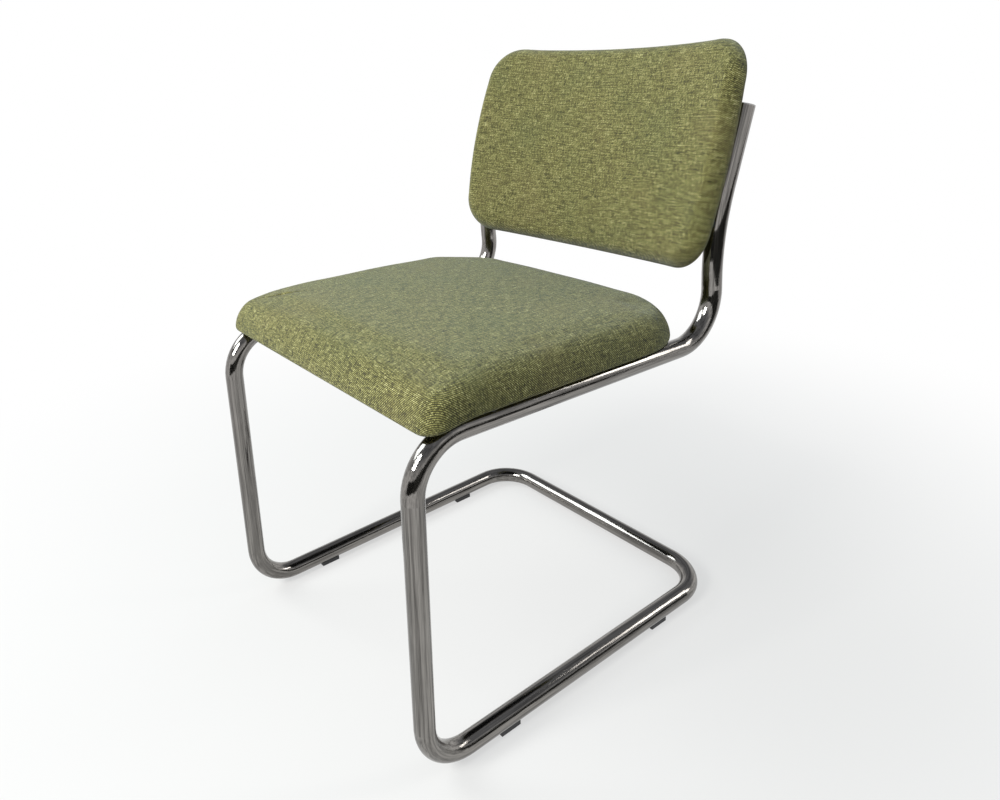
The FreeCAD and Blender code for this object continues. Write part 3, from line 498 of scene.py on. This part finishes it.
def melange_cloth(name, slub_across, slub_along):
    """Coarse plain weave of space-dyed yarns, on the piece's own cloth coordinates in metres.

    Two sets of threads cross. Each thread is a ridge, a sine across it, that dives under its
    neighbour every second crossing, so a cosine along it, opposite for the two sets. The
    higher one shows. The shade runs from umber to straw yellow: a noise drawn out along one
    set of threads, plus one drawn out along the other, plus a shorter one, plus a chance value
    of each crossing. Broad patches lean to tan or to green. The low gaps between threads are
    made darker by their depth, a painted shade.
    """
    finish = Finish(name)
    cloth = finish.node("ShaderNodeUVMap", {"uv_map": "cloth"})
    drift = finish.noise(cloth, 13.0, detail=1.0)
    u, v, _ = finish.split(cloth)
    a = u / THREAD + drift * 0.5
    b = v / THREAD + drift * -0.6
    row_a, row_b = a.math("FLOOR"), b.math("FLOOR")
    ridge_a = (a.math("FRACT") * math.pi).math("SINE")
    ridge_b = (b.math("FRACT") * math.pi).math("SINE")
    high_a = ridge_a * (0.55 + ((b + row_a) * math.pi).math("COSINE") * 0.45)
    high_b = ridge_b * (0.55 - ((a + row_b) * math.pi).math("COSINE") * 0.45)
    height = high_a.math("MAXIMUM", high_b)

    slubs = []
    for length, width, shift, share in (
            (slub_across, 0.0018, 0.0, 0.36), (0.0017, slub_along, 3.0, 0.30),
            (slub_across / 4, 0.0013, 7.0, 0.22)):
        run = finish.stretched(cloth, 1 / length, 1 / width, 0.0)
        run = finish.shifted(run, (shift, shift, shift))
        slubs.append(finish.noise(run, 1.0, detail=1.0) * share)
    crossing = finish.node("ShaderNodeCombineXYZ", {}, row_a, row_b, 0.0)
    chance = finish.node("ShaderNodeTexWhiteNoise", {"noise_dimensions": "2D"}, Vector=crossing)
    shade = slubs[0] + slubs[1] + slubs[2] + chance * 0.12
    tone = finish.node("ShaderNodeValToRGB", {"stops": YARN_SHADES}, shade)
    patch = finish.noise(cloth, 9.0, detail=2.0)
    tone = finish.blend(finish.between(0.50, patch, 0.70) * 0.22, tone, TAN_PATCH)
    tone = finish.blend(finish.between(0.50, patch, 0.30) * 0.22, tone, GREEN_PATCH)
    # painted shade: the low gaps between threads go darker by their depth
    tone = finish.blend(finish.between(0.85, height, 0.40) * 0.85, tone, GAP_PAINTED_SHADE)
    dent = finish.bumped(0.8, 0.0005, height + shade)
    return finish.surface(
        Base_Color=tone, Roughness=0.86 - height * 0.08, Normal=dent, Specular_IOR_Level=0.25,
        Sheen_Weight=0.15, Sheen_Roughness=0.5, Sheen_Tint=(0.78, 0.90, 0.92, 1.0))


def laid_on_seat(places):
    """Places in the seat pad's own flat frame, bent down at the front and set on the rails.

    Ahead of the droop's start a place at height h lies on the circle of radius R + h.
    """
    x, y, h = places[..., 0], places[..., 1], places[..., 2]
    gone = np.maximum(DROOP_LENGTH - y, 0)
    z = np.sqrt((DROOP_RADIUS + h) ** 2 - gone ** 2) - DROOP_RADIUS
    cos, sin = math.cos(SEAT_FALL), math.sin(SEAT_FALL)
    return np.stack([x, y * cos - z * sin, y * sin + z * cos], -1) + SEAT_AT


def upholstered(name, sizes, steps, sink, cap, laid, material):
    """One padded cover: the flat form laid in place, swollen, and made finer once."""
    flat, cloth, faces = pad_form(steps, sink, **sizes)
    piece = mesh_piece(name, laid(flat), faces, material, cloth)
    puffed(piece, flat[:, 2] < sizes["low"] * HELD_BELOW, cap)
    fine = piece.modifiers.new("fine", "SUBSURF")
    fine.levels = fine.render_levels = 1
    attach(piece, "root")
    return piece


seat_melange = melange_cloth("seat_melange", slub_across=0.010, slub_along=0.020)
seat_pad = upholstered("seat_pad", SEAT_PAD, steps=80, sink=0.0016, cap=0.0030,
                       laid=laid_on_seat, material=seat_melange)
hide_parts("seat_cover", "seat_foam")


# ---------------------------------------------------------------------------------------
# Seat lining: one piece of thin black nonwoven cloth that closes the seat's underside. It
# lies inside the cover's fold and is stapled to the panel all round.

def lining_cloth():
    """Thin black nonwoven: short felted fibres, almost no gloss."""
    finish = Finish("black_lining")
    spot = finish.place()
    fibre = finish.noise(finish.stretched(spot, 500, 1600, 500), 1.0, detail=3.0, rough=0.7)
    felt = finish.noise(spot, 1300.0, detail=1.0)
    tone = finish.blend(fibre, (0.008, 0.008, 0.009), (0.030, 0.030, 0.032))
    dent = finish.bumped(0.35, 0.0002, fibre + felt)
    return finish.surface(Base_Color=tone, Roughness=0.85 + fibre * 0.1, Normal=dent)


def flat_sheet(name, steps, outline, levels, laid, material):
    """A thin closed sheet: a grid above, a rim through the levels, and the same grid below.

    levels lists (scale of the outline, height) from the upper face round the edge.
    """
    share, spot, rim = square_grid(steps)
    middle = np.array([0.0, outline[:, 1].mean()])
    grid, edge = (on_outline(outline, spot) - middle) * share[:, None], outline - middle
    lines = [grid] + [edge] * (len(levels) - 2) + [grid]
    plans = [middle + line * scale for line, (scale, _) in zip(lines, levels)]
    heights = [np.full(len(line), height) for line, (_, height) in zip(lines, levels)]
    flat = np.column_stack([np.concatenate(plans), np.concatenate(heights)])
    faces = closed_faces(steps, len(levels) - 2, rim)
    return mesh_piece(name, laid(flat), faces, material, flat[:, :2])


LINING_STEPS, SEAT_FOLD, LINING_FRONT = 48, 0.0303, 0.042
inside, _ = rounded_outline(LINING_STEPS, SEAT_PAD["half"], SEAT_PAD["length"], LINING_FRONT,
                            SEAT_PAD["rear"], SEAT_PAD["bow"], inset=SEAT_FOLD)
levels = [(0.998, 0.0006), (1.0, 0.0003), (1.0, -0.0003), (0.998, -0.0005)]
seat_lining = flat_sheet("seat_lining", LINING_STEPS, inside, levels, laid_on_seat, lining_cloth())
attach(seat_lining, "root")
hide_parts("seat_under_cloth")


# ---------------------------------------------------------------------------------------
# Back pad: foam on a plywood panel that is bent round the sitter, under the same cloth,
# drawn round to the rear and stapled there. It is bolted to the two uprights.

BACK_PAD = {"half": 0.230, "length": 0.292, "front": 0.054, "rear": 0.058,
            "low": 0.008, "top": 0.015, "height": 0.036, "bow": 0.0046}
BACK_AT = np.array([0.0, 0.21045, 0.48726])
BACK_LEAN, BACK_CURVE = math.radians(-16.148), 0.650


def laid_on_back(places):
    """Places in the back pad's flat frame, bent round the hollow's axis and leaned back.

    A place x across at depth h lies at the angle x / R on the circle of radius R - h.
    """
    x, y, h = places[..., 0], places[..., 1], places[..., 2]
    turn = x / BACK_CURVE
    reach = BACK_CURVE - h
    side, depth = reach * np.sin(turn), reach * np.cos(turn) - BACK_CURVE
    cos, sin = math.cos(BACK_LEAN), math.sin(BACK_LEAN)
    return np.stack([side, depth * cos - y * sin, depth * sin + y * cos], -1) + BACK_AT


back_melange = melange_cloth("back_melange", slub_across=0.020, slub_along=0.010)
back_pad = upholstered("back_pad", BACK_PAD, steps=64, sink=0.0014, cap=0.0026,
                       laid=laid_on_back, material=back_melange)
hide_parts("back_cover", "back_foam")


# ---------------------------------------------------------------------------------------
# Rear cloth of the back pad: one flat piece of the same cloth, stretched over the panel's
# rear and fixed along its edge, which hides the panel and the cover's fold.

REAR_STEPS, REAR_HALF, REAR_CORNER, REAR_FOLD = 44, 0.232, 0.068, 0.0123
inside, _ = rounded_outline(REAR_STEPS, REAR_HALF, BACK_PAD["length"], REAR_CORNER, REAR_CORNER,
                            BACK_PAD["bow"], inset=REAR_FOLD)
levels = [(0.998, 0.0010), (1.0, 0.0004), (1.0, -0.0002), (0.995, -0.0008), (0.985, -0.0009)]
back_lining = flat_sheet("back_rear_cloth_panel", REAR_STEPS, inside, levels, laid_on_back,
                         back_melange)
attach(back_lining, "root")
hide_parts("back_rear_cloth")


# ---------------------------------------------------------------------------------------
# Studio: a pale floor that fades into a white surround, a soft sky and three soft boxes.
# Two dark cards, out of the camera's sight, give the chrome and the seat's side their dark.

FLOOR_REACH, FADE_FROM, FADE_TO, LEAST_FADE = 40.0, 0.35, 1.40, 0.58
CARD_LIFT, CARD_HEIGHT = 0.01, 0.55
WHITE = (1.0, 1.0, 1.0)


def seen_directly(finish):
    """1 for what the camera sees, straight or in metal or glass, and 0 for light that falls
    on things."""
    rays = [finish.node("ShaderNodeLightPath", {}, out=ray)
            for ray in ("Is Camera Ray", "Is Glossy Ray", "Is Transmission Ray")]
    return rays[0].math("MAXIMUM", rays[1]).math("MAXIMUM", rays[2])


floor_finish = Finish("pale_floor")
spot = floor_finish.place()
cloud = floor_finish.noise(spot, 1.3, detail=2.0)
floor_tone = floor_finish.blend(cloud, (0.48, 0.455, 0.44), (0.52, 0.495, 0.48))
matt = floor_finish.node("ShaderNodeBsdfPrincipled", {}, Base_Color=floor_tone, Roughness=0.9,
                         Specular_IOR_Level=0.1)
white = floor_finish.node("ShaderNodeEmission", {}, Strength=1.0)
away = floor_finish.node("ShaderNodeVectorMath", {"operation": "LENGTH"}, spot, out="Value")
fade = floor_finish.between(FADE_FROM, away, FADE_TO) * (1 - LEAST_FADE) + LEAST_FADE
share = seen_directly(floor_finish) * fade
faded = floor_finish.node("ShaderNodeMixShader", {}, share, matt, white)
floor_finish.node("ShaderNodeOutputMaterial", {}, faded)
corners = np.array([[-1, -1, 0], [1, -1, 0], [1, 1, 0], [-1, 1, 0.0]]) * FLOOR_REACH
floor = mesh_piece("studio_floor", corners, [[0, 1, 2, 3]], floor_finish.material)

sky = Finish("soft_sky", bpy.data.worlds.new("soft_sky"))
bpy.context.scene.world = sky.material
_, _, rise = sky.split(sky.node("ShaderNodeTexCoord", {}, out="Generated"))
shown = sky.blend(sky.between(0.20, rise, 0.60), WHITE, (0.30, 0.31, 0.33))
light = sky.blend(sky.between(0.0, rise, 0.9), (0.11, 0.095, 0.07), (0.60, 0.74, 0.80))
sky_tone = sky.blend(seen_directly(sky), light, shown)
sky.node("ShaderNodeOutputWorld", {}, sky.node("ShaderNodeBackground", {}, sky_tone))

card_finish = Finish("dark_card")
card_cloud = card_finish.noise(card_finish.place(), 3.0, detail=2.0)
card_tone = card_finish.blend(card_cloud, (0.030, 0.028, 0.026), (0.045, 0.042, 0.038))
card_finish.surface(Base_Color=card_tone, Roughness=0.9)
for name, ends in (("card_right", [(1.30, -1.6), (1.55, 1.6)]),
                   ("card_front", [(-0.1, -1.9), (1.30, -1.6)])):
    foot = np.array([[x, y, CARD_LIFT] for x, y in ends])
    corners = np.concatenate([foot, foot[::-1] + np.array([0, 0, CARD_HEIGHT])])
    card = mesh_piece(name, corners, [[0, 1, 2, 3]], card_finish.material)
    card.visible_camera = False


def soft_box(name, spot, aim, width, height, watts, tint):
    """A rectangular lamp that faces its aim."""
    lamp = bpy.data.lights.new(name, "AREA")
    lamp.shape = "RECTANGLE"
    lamp.size, lamp.size_y = width, height
    lamp.energy = watts
    lamp.color = tint
    holder = bpy.data.objects.new(name, lamp)
    bpy.context.scene.collection.objects.link(holder)
    holder.location = spot
    holder.rotation_euler = (Vector(aim) - Vector(spot)).to_track_quat("-Z", "Y").to_euler()


soft_box("window_left", spot=(-2.0, -1.6, 2.5), aim=(0, 0, 0.5), width=1.6, height=1.6,
         watts=76, tint=(0.93, 0.99, 1.0))
soft_box("window_front", spot=(0.05, -2.7, 2.1), aim=(0, 0, 0.6), width=0.9, height=1.2,
         watts=125, tint=(0.97, 1.0, 0.98))
soft_box("rear_strip", spot=(1.6, 2.2, 1.9), aim=(0, 0, 0.5), width=0.5, height=1.6,
         watts=20, tint=(1.0, 0.98, 0.95))

bpy.context.scene.view_settings.view_transform = "Standard"
